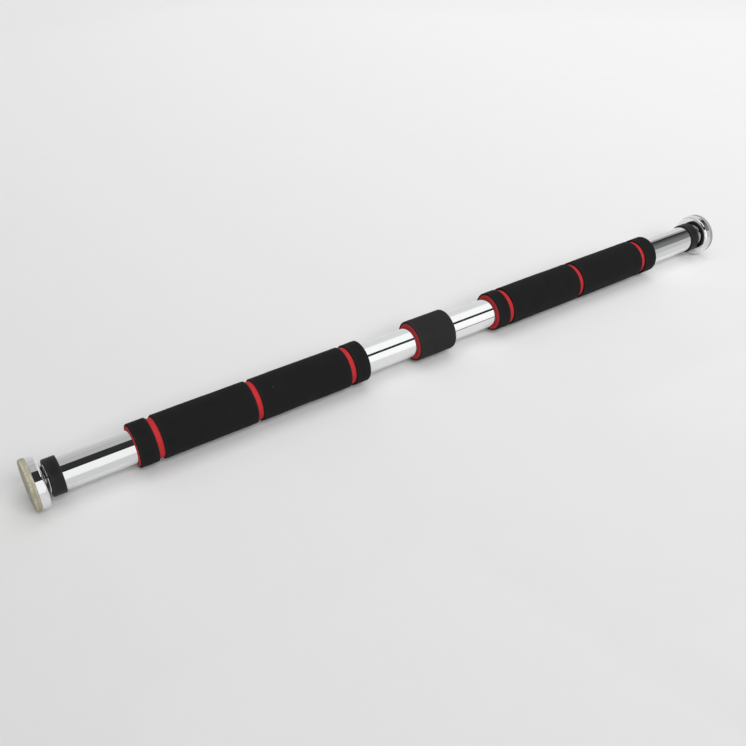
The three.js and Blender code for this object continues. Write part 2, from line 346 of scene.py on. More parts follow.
# %% Foam cell group
def make_foam_cells():
    inputs = [("Cell mm", 0.45), ("Pit depth", 1.0), ("Cloud", 0.3)]
    group = new_group("FoamCells", inputs, ["Height", "Tone", "Pits"])
    start, stop, place = ends(group)
    per_metre = math_node(group, "DIVIDE", 1000.0, start["Cell mm"])
    wander = node(group, "TexNoise", Detail=2.0, Roughness=0.5, Scale=700.0)
    group.links.new(place, wander.inputs["Vector"])
    nudge = group.nodes.new("ShaderNodeVectorMath")
    nudge.operation = "MULTIPLY_ADD"
    nudge.inputs[1].default_value = (0.0006, 0.0006, 0.0006)
    group.links.new(wander.outputs["Color"], nudge.inputs[0])
    group.links.new(place, nudge.inputs[2])
    cells = node(group, "TexVoronoi", {"feature": "F1"}, Randomness=1.0)
    group.links.new(nudge.outputs["Vector"], cells.inputs["Vector"])
    group.links.new(per_metre, cells.inputs["Scale"])
    pits = fade(group, cells.outputs["Distance"], 0.12, 0.55, 1.0, 0.0)
    fuzz = node(group, "TexNoise", Detail=4.0, Roughness=0.7)
    group.links.new(place, fuzz.inputs["Vector"])
    group.links.new(math_node(group, "MULTIPLY", per_metre, 1.7), fuzz.inputs["Scale"])
    cloud = node(group, "TexNoise", Detail=3.0, Roughness=0.55, Scale=55.0)
    group.links.new(place, cloud.inputs["Vector"])
    sunk = math_node(group, "MULTIPLY", pits, start["Pit depth"])
    skin = math_node(group, "MULTIPLY", fuzz.outputs["Fac"], 0.8)
    group.links.new(math_node(group, "SUBTRACT", skin, sunk), stop["Height"])
    cloudy = math_node(group, "SUBTRACT", cloud.outputs["Fac"], 0.5)
    patch = math_node(group, "MULTIPLY", cloudy, start["Cloud"])
    fuzzy = math_node(group, "SUBTRACT", fuzz.outputs["Fac"], 0.5)
    grain = math_node(group, "MULTIPLY", fuzzy, 0.5)
    # The pits are painted darker: painted shade inside the cells.
    shade = math_node(group, "MULTIPLY_ADD", pits, -0.25, 1.06)
    tone = math_node(group, "ADD", math_node(group, "ADD", patch, grain), shade)
    group.links.new(tone, stop["Tone"])
    group.links.new(pits, stop["Pits"])
    return group


# %% [markdown]
# ### Handling marks
#
# Chrome and smooth plastic keep the marks of fingers and packing: soft smudges some centimetres across
# and hair-thin scratches that run mostly round the tube, because that is how a sleeve slides on. The
# group gives a mask that materials use to lift the roughness a little.

# %% Handling mark group
def make_handling_marks():
    group = new_group("HandlingMarks", [("Smudges", 0.5), ("Scratches", 0.5)], ["Mask", "Height"])
    start, stop, place = ends(group)
    smudge = node(group, "TexNoise", Detail=5.0, Roughness=0.65, Scale=38.0, Distortion=0.6)
    group.links.new(place, smudge.inputs["Vector"])
    smudge_mask = fade(group, smudge.outputs["Fac"], 0.52, 0.72)
    squeeze = node(group, "Mapping")
    squeeze.inputs["Scale"].default_value = (2600.0, 60.0, 60.0)
    squeeze.inputs["Rotation"].default_value = (0.0, 0.12, 0.09)
    group.links.new(place, squeeze.inputs["Vector"])
    hair = node(group, "TexNoise", Detail=2.0, Roughness=0.5, Scale=1.0)
    group.links.new(squeeze.outputs["Vector"], hair.inputs["Vector"])
    hair_mask = fade(group, hair.outputs["Fac"], 0.66, 0.74)
    smudges = math_node(group, "MULTIPLY", smudge_mask, start["Smudges"])
    scratches = math_node(group, "MULTIPLY", hair_mask, start["Scratches"])
    group.links.new(math_node(group, "ADD", smudges, scratches, clamp=True), stop["Mask"])
    group.links.new(math_node(group, "MULTIPLY", scratches, -1.0), stop["Height"])
    return group


# %% [markdown]
# ### Worn edges and lint
#
# Outside edges rub first. The mesh helper stores how close each vertex is to a rounded edge, and this
# group breaks that smooth value up with noise so that the wear looks rubbed and not painted. Lint is a
# sparse scatter of pale specks, which black foam always picks up.

# %% Edge wear and lint groups
def make_edge_wear():
    group = new_group("EdgeWear", [("Amount", 0.5), ("Break up mm", 2.0)], ["Mask"])
    start, stop, place = ends(group)
    edge = node(group, "Attribute", {"attribute_name": "edge"}).outputs["Fac"]
    broken = node(group, "TexNoise", Detail=4.0, Roughness=0.65)
    group.links.new(place, broken.inputs["Vector"])
    group.links.new(math_node(group, "DIVIDE", 1000.0, start["Break up mm"]), broken.inputs["Scale"])
    rubbed = math_node(group, "MULTIPLY", edge, fade(group, broken.outputs["Fac"], 0.35, 0.65))
    group.links.new(math_node(group, "MULTIPLY", rubbed, start["Amount"], clamp=True), stop["Mask"])
    return group


def make_lint():
    group = new_group("Lint", [("Spacing mm", 9.0), ("Speck", 0.035)], ["Mask"])
    start, stop, place = ends(group)
    specks = node(group, "TexVoronoi", {"feature": "F1"}, Randomness=1.0)
    group.links.new(place, specks.inputs["Vector"])
    group.links.new(math_node(group, "DIVIDE", 1000.0, start["Spacing mm"]), specks.inputs["Scale"])
    near = math_node(group, "LESS_THAN", specks.outputs["Distance"], start["Speck"])
    group.links.new(near, stop["Mask"])
    return group


GROUPS = {
    "grain": make_fine_grain(),
    "foam": make_foam_cells(),
    "marks": make_handling_marks(),
    "wear": make_edge_wear(),
    "lint": make_lint(),
}
print("node groups:", ", ".join(group.name for group in GROUPS.values()))

# %% [markdown]
# ## Materials
#
# Each material places the groups that it needs and feeds them into one Principled shader. What stays the
# same over the whole surface, such as the sheen of foam, is set on the shader itself.


# %% Material helpers
def new_material(name, **constants):
    """A material with only a Principled shader, and constants set on it by socket name."""
    material = bpy.data.materials.new(name)
    material.use_nodes = True
    tree = material.node_tree
    tree.nodes.clear()
    shader = tree.nodes.new("ShaderNodeBsdfPrincipled")
    output = tree.nodes.new("ShaderNodeOutputMaterial")
    tree.links.new(shader.outputs["BSDF"], output.inputs["Surface"])
    for key, value in constants.items():
        shader.inputs[key.replace("_", " ")].default_value = value
    return material, tree, shader


def place_group(tree, key, **values):
    """One of the shared groups, with this material's own values."""
    placed = tree.nodes.new("ShaderNodeGroup")
    placed.node_tree = GROUPS[key]
    for name, value in values.items():
        placed.inputs[name.replace("_", " ")].default_value = value
    return placed.outputs


def tinted(tree, colour, tone):
    """A colour made lighter or darker by a tone value around 1."""
    mix = tree.nodes.new("ShaderNodeVectorMath")
    mix.operation = "SCALE"
    mix.inputs[0].default_value = colour
    tree.links.new(tone, mix.inputs["Scale"])
    return mix.outputs["Vector"]


def blended(tree, mask, below, above):
    """The colour above where mask is 1 over the colour below. Each is a colour or a socket."""
    mix = tree.nodes.new("ShaderNodeMix")
    mix.data_type = "RGBA"
    tree.links.new(mask, mix.inputs["Factor"])
    for name, term in (("A", below), ("B", above)):
        socket = next(s for s in mix.inputs if s.name == name and s.type == "RGBA")
        if isinstance(term, tuple):
            socket.default_value = (*term, 1.0)
        else:
            tree.links.new(term, socket)
    return next(s for s in mix.outputs if s.type == "RGBA")


def bumped(tree, shader, height, distance):
    """Feeds a height into the shader's normal. The distance is in metres."""
    bump = node(tree, "Bump", Distance=distance, Strength=1.0)
    tree.links.new(height, bump.inputs["Height"])
    tree.links.new(bump.outputs["Normal"], shader.inputs["Normal"])


# %% [markdown]
# ### Metals
#
# Bright chrome is nearly a mirror, so almost everything that it shows comes from the room. What makes it
# read as a real plated tube is the small change of roughness under smudges and scratches. The screw
# tubes have the same chrome, with painted shade in the roots of the thread, which are also a little
# rougher. The steel inside the bar is plain turned and zinc plated, greyer and much rougher.
#
# A mirror throws light down onto the table, which the renderer can't trace, so the shadow under the bare
# tube would come out too dark. For light that bounces off the table, metals count as pale paint instead.


# %% Metals
def throws_light(tree, shader):
    """Makes metal act like pale paint for light that bounces off the table."""
    bounced = node(tree, "LightPath").outputs["Is Diffuse Ray"]
    tree.links.new(math_node(tree, "SUBTRACT", 1.0, bounced), shader.inputs["Metallic"])


def metal(name, colour, polish, marked, smudges, scratches, bump):
    """A metal whose roughness runs from polish, where clean, to marked under handling marks."""
    material, tree, shader = new_material(name, Metallic=1.0)
    marks = place_group(tree, "marks", Smudges=smudges, Scratches=scratches)
    grain = place_group(tree, "grain", Size_mm=1.6, Variation=0.06)
    tree.links.new(tinted(tree, colour, grain["Tone"]), shader.inputs["Base Color"])
    tree.links.new(fade(tree, marks["Mask"], 0.0, 1.0, polish, marked), shader.inputs["Roughness"])
    bumped(tree, shader, marks["Height"], bump)
    throws_light(tree, shader)
    return material


def root_shaded_chrome():
    """Chrome with painted shade in the thread's roots, where the mesh carries a depth of 1."""
    material, tree, shader = new_material("root_shaded_chrome", Metallic=1.0)
    depth = node(tree, "Attribute", {"attribute_name": "depth"}).outputs["Fac"]
    grain = place_group(tree, "grain", Size_mm=1.2, Variation=0.9)
    marks = place_group(tree, "marks", Smudges=0.7, Scratches=0.5)
    uneven = math_node(tree, "MULTIPLY", depth, grain["Tone"])
    # The thread's roots are painted darker as painted shade in the hollows, and are made a little rougher
    # too.
    root_shade = fade(tree, uneven, 0.15, 0.65)
    crest_colour = (0.86, 0.86, 0.86)
    root_shade_colour = (0.24, 0.23, 0.215)
    colour = blended(tree, root_shade, crest_colour, root_shade_colour)
    tree.links.new(colour, shader.inputs["Base Color"])
    smudged = fade(tree, marks["Mask"], 0.0, 1.0, 0.08, 0.22)
    tree.links.new(math_node(tree, "MULTIPLY_ADD", root_shade, 0.3, smudged), shader.inputs["Roughness"])
    throws_light(tree, shader)
    return material


CHROME = metal(
    "bright_chrome", (0.86, 0.865, 0.87), polish=0.035, marked=0.16, smudges=0.55, scratches=0.35, bump=2e-6,
)
ROOT_SHADED_CHROME = root_shaded_chrome()
STEEL = metal(
    "zinc_plated_steel", (0.58, 0.59, 0.6), polish=0.3, marked=0.5, smudges=0.7, scratches=0.8, bump=1e-5,
)


# %% [markdown]
# ### Plastic and rubber
#
# The collars are moulded in black with a satin skin that polishes a little on its edges. The pads are a
# soft rubber with a matte, dusty face, olive on the left foot. The right pad's greyer colour is painted
# sheen: it stands in for the paler look that the same rubber has from the right pad's steeper view.
# Nylon is a creamy, slightly waxy plastic.


# %% Plastic and rubber
def moulded(name, colour, worn_colour, roughness, grain_mm, bump, wear, specular=0.4, mottle=0.35):
    """A moulded skin with fine grain, paler worn edges and uneven gloss."""
    material, tree, shader = new_material(name, Specular_IOR_Level=specular)
    grain = place_group(tree, "grain", Size_mm=grain_mm, Variation=mottle)
    edges = place_group(tree, "wear", Amount=wear, Break_up_mm=1.8)
    marks = place_group(tree, "marks", Smudges=0.6, Scratches=0.4)
    skin = tinted(tree, colour, grain["Tone"])
    tree.links.new(blended(tree, edges["Mask"], skin, worn_colour), shader.inputs["Base Color"])
    gloss = fade(tree, marks["Mask"], 0.0, 1.0, roughness, roughness * 0.8)
    tree.links.new(gloss, shader.inputs["Roughness"])
    bumped(tree, shader, grain["Height"], bump)
    return material


def pad_rubber(name, colour, worn_colour):
    """The rubber of a pad: mottled all over, and paler where it is rubbed."""
    return moulded(
        name, colour, worn_colour, roughness=0.6, grain_mm=1.3, bump=4e-5, wear=0.8, mottle=1.0,
    )


COLLAR_PLASTIC = moulded(
    "collar_plastic", (0.008, 0.008, 0.0082), (0.03, 0.03, 0.03),
    roughness=0.5, grain_mm=0.5, bump=1.5e-5, wear=0.5, specular=0.22,
)
NYLON = moulded(
    "natural_nylon", (0.74, 0.71, 0.62), (0.85, 0.83, 0.76),
    roughness=0.45, grain_mm=0.9, bump=1e-5, wear=0.4,
)
PAD_RUBBERS = {
    "left": pad_rubber("olive_rubber", (0.284, 0.262, 0.176), (0.50, 0.47, 0.40)),
    # The right pad's grey is painted sheen: the same rubber, seen at a steeper angle.
    "right": pad_rubber("grey_painted_sheen_rubber", (0.245, 0.243, 0.233), (0.38, 0.376, 0.365)),
}


# %% [markdown]
# ### Foam
#
# Black foam isn't black paint. Its cells trap light and its dry surface has a soft sheen at the sides, so
# it looks a little lighter towards its outline. Cells, cloudy patches, pale rubbed edges and lint all go
# into the colour, and the cells also go into the bump.


# %% Foam
def foam(name, colour, rubbed_colour, cell_mm, cloud, lint, sheen):
    """A matte foam with cut cells, rubbed edges and a few specks of lint."""
    sheen_tint = (*(min(1.0, part * 6 + 0.05) for part in colour), 1.0)
    material, tree, shader = new_material(
        name, Specular_IOR_Level=0.16, Sheen_Weight=sheen, Sheen_Roughness=0.6, Sheen_Tint=sheen_tint,
    )
    cells = place_group(tree, "foam", Cell_mm=cell_mm, Pit_depth=0.8, Cloud=cloud)
    edges = place_group(tree, "wear", Amount=0.45, Break_up_mm=1.2)
    specks = place_group(tree, "lint", Spacing_mm=11.0, Speck=lint)
    skin = tinted(tree, colour, cells["Tone"])
    rubbed = blended(tree, edges["Mask"], skin, rubbed_colour)
    lint_colour = (0.35, 0.34, 0.32)
    linted = blended(tree, specks["Mask"], rubbed, lint_colour)
    tree.links.new(linted, shader.inputs["Base Color"])
    tree.links.new(fade(tree, cells["Pits"], 0.0, 1.0, 0.82, 0.98), shader.inputs["Roughness"])
    bumped(tree, shader, cells["Height"], 1.1e-4)
    return material


BLACK_FOAM = foam(
    "black_foam", (0.0076, 0.0076, 0.0078), (0.02, 0.02, 0.02),
    cell_mm=0.42, cloud=0.5, lint=0.018, sheen=0.03,
)
RING_FOAM = foam(
    "charcoal_foam", (0.0165, 0.0165, 0.0167), (0.035, 0.035, 0.035),
    cell_mm=0.42, cloud=0.35, lint=0.015, sheen=0.03,
)
RED_FOAM = foam(
    "red_foam", (0.43, 0.023, 0.027), (0.50, 0.05, 0.055), cell_mm=0.42, cloud=0.25, lint=0.0, sheen=0.08,
)
print("materials:", ", ".join(material.name for material in bpy.data.materials))

# %% [markdown]
# ## The main tube
#
# A cold-drawn steel tube, cut square, deburred and chromed. It runs the whole length under the foam, so
# it is one piece, open at both ends, with a small round on each cut edge.


# %% Main tube
def main_tube():
    edge = 0.35 * MM
    corners = [
        (-TUBE_END, TUBE_BORE, edge),
        (-TUBE_END, TUBE_RADIUS, edge),
        (TUBE_END, TUBE_RADIUS, edge),
        (TUBE_END, TUBE_BORE, edge),
    ]
    points = resampled(rounded(corners), 40 * MM)
    made = spin("chromed_main_tube", points, sides=192)
    return finish_piece(made, "bar", CHROME, "chrome", "main_tube")


main_tube()


# %% [markdown]
# ## End collars
#
# A moulded cap is pushed over each end of the main tube. Its outer edge is well rounded, its inner edge
# only slightly, and its end wall has a hole that clears the screw. A shallow step inside rests on the
# tube's end.


# %% End collars
def end_collar(side):
    start, face = span("end_collar_right")
    seat = TUBE_END + CLEARANCE
    hole = THREAD_CREST + 2 * CLEARANCE
    bore = TUBE_RADIUS + 0.05 * MM
    corners = [
        (start, bore, 0.15 * MM),
        (start, COLLAR_RADIUS, 0.6 * MM),
        (face, COLLAR_RADIUS, 1.4 * MM),
        (face, hole, 0.5 * MM),
        (seat, hole, 0.2 * MM),
        (seat, bore, 0.1 * MM),
    ]
    made = spin(f"moulded_collar_{side}", resampled(rounded(corners), 3 * MM), 160, side == "left")
    return finish_piece(made, "bar", COLLAR_PLASTIC, "collar_plastic", f"end_collar_{side}")


for each_side in SIDES:
    end_collar(each_side)

# %% [markdown]
# ## The thread
#
# The screw tubes have a rolled thread: it is pressed into the tube and not cut, so its crests and roots
# are round. A thread is a wave that climbs one pitch in each turn. At a place along the bar and an angle
# round it, the wave's phase is the place in pitches less the angle in turns, and that one formula gives
# both the screw and, with a little clearance added, the nut that it runs in.
#
# Mirroring the right end gives the left end its left-hand thread, just as the real bar needs.

# %% Thread helpers
ROWS_PER_PITCH = 8
SCREW_SIDES = 72


def thread_radius(along, angle, crest):
    """The thread's radius at a place along the bar and an angle round it."""
    phase = along / THREAD_PITCH - angle / (2 * math.pi)
    wave = 0.5 + 0.5 * math.cos(2 * math.pi * phase)
    return crest - THREAD_DEPTH * (1 - wave ** 0.8)


def thread_rows(start, end):
    """Places along the bar that are close enough together to carry the thread."""
    count = math.ceil((end - start) / THREAD_PITCH * ROWS_PER_PITCH)
    return [start + (end - start) * row / count for row in range(count + 1)]


def mark_depth(made, crest, depth):
    """Stores how deep each vertex lies below the crest, as a share of the thread's depth."""
    sunk = [(crest - math.hypot(vertex.co.y, vertex.co.z)) / depth for vertex in made.data.vertices]
    mark = made.data.attributes.new("depth", "FLOAT", "POINT")
    mark.data.foreach_set("value", [min(1.0, max(0.0, part)) for part in sunk])


# %% [markdown]
# ## Screw tubes
#
# Each screw tube is threaded along the stretch that can pass through the nut, and ends inside the bar in
# a plain tail that carries the guide bush. The thread fades in over one turn at the tail and is bevelled
# at the foot, so it starts cleanly in the nut.


# %% Screw tubes
def screw_tube(side):
    start, end = span("screw_tube_right")
    thread_start = span("guide_bush_right")[1] + CLEARANCE
    tail = THREAD_CREST - THREAD_DEPTH - 0.1 * MM
    bevel = 1.2 * MM

    def wavy(along, radius, angle):
        if radius < tail - 0.5 * MM or along < thread_start:
            return radius
        full = thread_radius(along, angle, THREAD_CREST)
        run_in = min(1.0, (along - thread_start) / THREAD_PITCH)
        limit = THREAD_CREST - max(0.0, along - (end - bevel)) * 0.9
        return min(limit, tail + (full - tail) * run_in)

    outside = [(start + 0.4 * MM, tail, 1.0), (thread_start, tail, 0.0)]
    outside += [(along, THREAD_CREST, 0.0) for along in thread_rows(thread_start + 0.1 * MM, end)]
    inside = [(end, SCREW_BORE, 0.0), (start, SCREW_BORE, 0.0), (start, tail - 0.4 * MM, 1.0)]
    made = spin(f"screw_tube_chromed_{side}", outside + inside, SCREW_SIDES, side == "left", wavy)
    mark_depth(made, THREAD_CREST, THREAD_DEPTH)
    return finish_piece(made, f"foot_{side}", ROOT_SHADED_CHROME, "chrome", f"screw_tube_{side}")


for each_side in SIDES:
    screw_tube(each_side)


# %% [markdown]
# ## Pieces inside the bar
#
# These never show while the bar is whole, but they are what makes it work, so they get true shapes too:
# the nut with its own thread, the nylon bush, the ring that keeps the bush on, the plug in the outer end
# of the screw tube and the screw that holds the foot.


# %% Thread nuts
def thread_nut(side):
    start, end = span("thread_nut_right")
    outer = TUBE_BORE - 0.05 * MM

    def wavy(along, radius, angle):
        if radius > outer - 0.3 * MM:
            return radius
        lead_in = max(0.0, 1.2 * MM - min(along - start, end - along)) * 0.8
        return max(thread_radius(along, angle, THREAD_CREST + THREAD_CLEARANCE), radius + lead_in)

    root = THREAD_CREST + THREAD_CLEARANCE - THREAD_DEPTH
    inside = [(along, root, 0.0) for along in reversed(thread_rows(start, end))]
    outside = [(start, outer - 0.5 * MM, 1.0), (start + 0.5 * MM, outer, 1.0)]
    outside += [(end - 0.5 * MM, outer, 1.0), (end, outer - 0.5 * MM, 1.0)]
    made = spin(f"threaded_nut_{side}", outside + inside, SCREW_SIDES, side == "left", wavy)
    return finish_piece(made, "bar", STEEL, "plain_steel", f"thread_nut_{side}")


# %% Bushes, stop rings and plugs
def sleeve_corners(start, end, bore, outer, edge):
    """A plain sleeve with four rounded edges."""
    return [(start, bore, edge), (start, outer, edge), (end, outer, edge), (end, bore, edge)]


def guide_bush(side):
    start, end = span("guide_bush_right")
    bore = THREAD_CREST - THREAD_DEPTH + CLEARANCE
    outer = TUBE_BORE - CLEARANCE
    deep = outer - 0.5 * MM
    corners = [(start, bore, 0.4 * MM), (start, outer, 0.6 * MM)]
    grooves = 3
    for index in range(grooves):
        middle = start + (end - start) * (index + 1) / (grooves + 1)
        for shift, radius in ((-1.1, outer), (-0.8, deep), (0.8, deep), (1.1, outer)):
            corners.append((middle + shift * MM, radius, 0.12 * MM))
    corners += [(end, outer, 0.6 * MM), (end, bore, 0.4 * MM)]
    made = spin(f"nylon_bush_{side}", rounded(corners), 96, side == "left")
    return finish_piece(made, f"guide_{side}", NYLON, "nylon", f"guide_bush_{side}")


def stop_ring(side):
    start, end = span("stop_ring_right")
    outer = radius_of("stop_ring_right", SCREW_FLATS)
    corners = sleeve_corners(start, end, THREAD_CREST - THREAD_DEPTH, outer, 0.5 * MM)
    made = spin(f"retaining_ring_{side}", rounded(corners), 96, side == "left")
    return finish_piece(made, f"foot_{side}", STEEL, "plain_steel", f"stop_ring_{side}")


def end_plug(side):
    start, end = span("end_plug_right")
    corners = sleeve_corners(start, end, 4.1 * MM, SCREW_BORE - 0.05 * MM, 0.7 * MM)
    made = spin(f"threaded_plug_{side}", rounded(corners), 72, side == "left")
    return finish_piece(made, f"foot_{side}", STEEL, "plain_steel", f"end_plug_{side}")


# %% Foot screws
def foot_screw(side):
    start, end = span("foot_screw_right")
    head_start = end - 3 * MM
    shank = 3.9 * MM
    head = 7 * MM
    socket = 2.7 * MM
    socket_floor = head_start + 0.7 * MM

    def hexagonal(along, radius, angle):
        if along <= socket_floor - 0.01 * MM or abs(radius - socket) > 0.01 * MM:
            return radius
        nearest = (angle + math.pi / 6) % (math.pi / 3) - math.pi / 6
        return socket / math.cos(nearest)

    corners = [
        (start, 0, 0),
        (start, shank, 0.7 * MM),
        (head_start, shank, 0.3 * MM),
        (head_start, head, 0.3 * MM),
        (end, head, 0.8 * MM),
        (end, socket, 0),
        (socket_floor, socket, 0),
        (socket_floor, 0, 0),
    ]
    made = spin(f"foot_fixing_screw_{side}", rounded(corners), 72, side == "left", hexagonal)
    return finish_piece(made, f"foot_{side}", STEEL, "plain_steel", f"foot_screw_{side}")


for each_side in SIDES:
    thread_nut(each_side)
    guide_bush(each_side)
    stop_ring(each_side)
    end_plug(each_side)
    foot_screw(each_side)


# %% [markdown]
# ## The feet
#
# Each foot is a shallow cup drawn from steel sheet, so its back edge has the round that the die leaves
# and its wall has one thickness all over. Its rim is turned over a little where the pad goes in.


# %% Foot cups
def foot_cup(side):
    back, rim = span("foot_cup_right")
    wall = 1.6 * MM
    floor_inside = back + 2 * MM
    corners = [
        (back, 4.2 * MM, 0.2 * MM),
        (back, FOOT_RADIUS, 2.8 * MM),
        (rim, FOOT_RADIUS, 0.4 * MM),
        (rim, FOOT_RADIUS - wall, 0.4 * MM),
        (floor_inside, FOOT_RADIUS - wall, 0.5 * MM),
        (floor_inside, 4.2 * MM, 0.2 * MM),
    ]
    made = spin(f"pressed_cup_{side}", resampled(rounded(corners, 10), 5 * MM), 192, side == "left")
    return finish_piece(made, f"foot_{side}", CHROME, "chrome", f"foot_cup_{side}")


# %% [markdown]
# ## The pads
#
# The anti-slip pad is moulded rubber. It sits in the cup on a spigot, and its flange has the same
# diameter as the cup. Moulded rubber shows a soft parting line round its edge, and the face that meets
# the door frame has a few shallow rings so that it grips.


# %% Foot pads
def foot_pad(side):
    start, face = span("foot_pad_right")
    rim = span("foot_cup_right")[1]
    spigot = FOOT_RADIUS - 1.6 * MM - CLEARANCE
    flange_start = rim + 0.1 * MM
    pocket = 7.6 * MM
    pocket_floor = start + 3.6 * MM
    ring_depth = 0.35 * MM
    taper = 0.4 * MM
    corners = [
        (start, pocket, 0.4 * MM),
        (start, spigot, 0.5 * MM),
        (flange_start, spigot, 0.1 * MM),
        (flange_start, FOOT_RADIUS - 0.1 * MM, 0.4 * MM),
    ]
    parting = flange_start + (face - flange_start) * 0.4
    for shift, bulge in ((-0.35, -0.12), (0.0, 0.0), (0.35, -0.18)):
        corners.append((parting + shift * MM, FOOT_RADIUS + bulge * MM, 0))
    corners.append((face, FOOT_RADIUS - taper, 1.5 * MM))
    for radius in (19, 14, 9):
        for shift, depth in ((0.8, 0.0), (0.4, ring_depth), (-0.4, ring_depth), (-0.8, 0.0)):
            corners.append((face - depth, (radius + shift) * MM, 0.12 * MM))
    corners += [(face, 0, 0), (pocket_floor, 0, 0), (pocket_floor, pocket, 0.3 * MM)]
    made = spin(f"anti_slip_pad_{side}", resampled(rounded(corners), 3 * MM), 160, side == "left")
    return finish_piece(made, f"foot_{side}", PAD_RUBBERS[side], "pad_rubber", f"foot_pad_{side}")


for each_side in SIDES:
    foot_cup(each_side)
    foot_pad(each_side)

# %% [markdown]
# ## Foam grips
#
# Each grip is a two-colour foam sleeve: a red tube with a black skin over it. Three grooves are cut
# through the black so that red rings show, and the black skin's ends are rounded back so that the red
# end stands a little proud.
#
# Foam is never dead straight. A slow noise moves every vertex by a tenth of a millimetre or two and a
# quicker one by a few hundredths, the same for the red and the black so that they stay together.

# %% Foam helpers
FOAM_ROW = 1.4 * MM
FOAM_SIDES = 144
SLOW_WAVES = 38
QUICK_WAVES = 210


def foam_shape(wave, ripple, hold):
    """Moves foam in or out by noise. Below the radius hold, where it grips the tube, nothing moves."""

    def moved(along, radius, angle):
        if radius < hold:
            return radius
        spot = Vector((along, radius * math.cos(angle), radius * math.sin(angle)))
        slow = noise.noise(spot * SLOW_WAVES)
        quick = noise.noise(spot * QUICK_WAVES + Vector((7.0, 3.0, 1.0)))
        return radius + slow * wave + quick * ripple

    return moved


def foam_piece(name, corners, material, slot, cad_node):
    points = resampled(rounded(corners), FOAM_ROW)
    shape = foam_shape(wave=0.22 * MM, ripple=0.07 * MM, hold=TUBE_RADIUS + 1.5 * MM)
    made = spin(name, points, FOAM_SIDES, shape=shape, edge_falloff=1.0 * MM, crease=60)
    finish_piece(made, "bar", material, slot, cad_node)
    return made


def foam_core(name, cad_node):
    start, end = span(cad_node)
    radius = radius_of(cad_node)
    bore = TUBE_RADIUS + 0.05 * MM
    edge = 0.35 * MM
    corners = [(start, bore, edge), (start, radius, edge), (end, radius, edge), (end, bore, edge)]
    return foam_piece(name, corners, RED_FOAM, "red_foam", cad_node)


def foam_skin(name, cad_node, start_edge, end_edge, material):
    start, end = span(cad_node)
    radius = radius_of(cad_node)
    bore = radius_of("ring_core") + 0.1 * MM
    corners = [
        (start, bore, 0.1 * MM),
        (start, radius, start_edge),
        (end, radius, end_edge),
        (end, bore, 0.1 * MM),
    ]
    return foam_piece(name, corners, material, "black_foam", cad_node)


# %% Grips
CUT_EDGE = 1.0 * MM
END_EDGE = 1.4 * MM
for each_side in SIDES:
    foam_core(f"red_foam_{each_side}", f"grip_core_{each_side}")
    outwards = each_side == "right"
    for length in ("band_inner", "sleeve_inner", "sleeve_outer", "band_outer"):
        inner_edge = END_EDGE if length == "band_inner" else CUT_EDGE
        outer_edge = END_EDGE if length == "band_outer" else CUT_EDGE
        low_edge, high_edge = (inner_edge, outer_edge) if outwards else (outer_edge, inner_edge)
        name = f"{each_side}_{length}"
        foam_skin(f"black_foam_{name}", f"grip_{name}", low_edge, high_edge, BLACK_FOAM)

# %% Middle ring
foam_core("red_foam_middle", "ring_core")
foam_skin("black_foam_middle", "ring_shell", END_EDGE, END_EDGE, RING_FOAM)

# %% [markdown]
# ## The set
#
# The bar lies on a pale table under big soft lights. Chrome shows its whole surroundings, so the set
# matters as much as the metal. What the tube shows is only the ring of directions round the bar, from the
# front horizon (0 degrees) over the ceiling (90) to the back horizon (180). So the studio is a box of
# plain cards round the bar, each one placed by the two angles between which the bar sees it.
#
# The cards are seen by mirrors only. The camera, the shadows and the matte surfaces ignore them.


# %% Floor
FLOOR_REACH = 8.0
FLOOR_TONE = 0.67
# The table's colour carries painted light falloff: it is paler towards the back and the right.
PAINTED_FALLOFF_TO_THE_BACK = 0.145
PAINTED_FALLOFF_TO_THE_RIGHT = 0.12
DARKEST_FLOOR, PALEST_FLOOR = 0.55, 0.92


def floor_material():
    """A pale table top with painted light falloff: a little lighter at the back and on the right."""
    material, tree, shader = new_material("pale_table", Roughness=0.85, Specular_IOR_Level=0.2)
    grain = place_group(tree, "grain", Size_mm=3.0, Variation=0.02)
    place = tree.nodes.new("ShaderNodeTexCoord").outputs["Object"]
    split = tree.nodes.new("ShaderNodeSeparateXYZ")
    tree.links.new(place, split.inputs[0])
    backwards = math_node(tree, "MULTIPLY_ADD", split.outputs["Y"], PAINTED_FALLOFF_TO_THE_BACK, FLOOR_TONE)
    sideways = math_node(tree, "MULTIPLY_ADD", split.outputs["X"], PAINTED_FALLOFF_TO_THE_RIGHT, backwards)
    dark_end = math_node(tree, "MAXIMUM", sideways, DARKEST_FLOOR)
    shade = math_node(tree, "MINIMUM", dark_end, PALEST_FLOOR)
    tone = math_node(tree, "MULTIPLY", shade, grain["Tone"])
    tree.links.new(tinted(tree, (1.0, 1.0, 0.998), tone), shader.inputs["Base Color"])
    return material


def quad(name, corners, material, card_only):
    """One flat four-sided mesh for the set. A card is seen by mirrors only."""
    mesh = bpy.data.meshes.new(name)
    mesh.from_pydata(corners, [], [(0, 1, 2, 3)])
    mesh.materials.append(material)
    made = bpy.data.objects.new(name, mesh)
    bpy.context.collection.objects.link(made)
    made.visible_camera = not card_only
    made.visible_shadow = not card_only
    made.visible_diffuse = not card_only


floor_corners = []
for x, y in ((-1, -1), (1, -1), (1, 1), (-1, 1)):
    floor_corners.append((x * FLOOR_REACH, y * FLOOR_REACH, -FOOT_RADIUS))
quad("table", floor_corners, floor_material(), card_only=False)
print("the table lies", round(FOOT_RADIUS / MM, 1), "mm below the bar's axis")


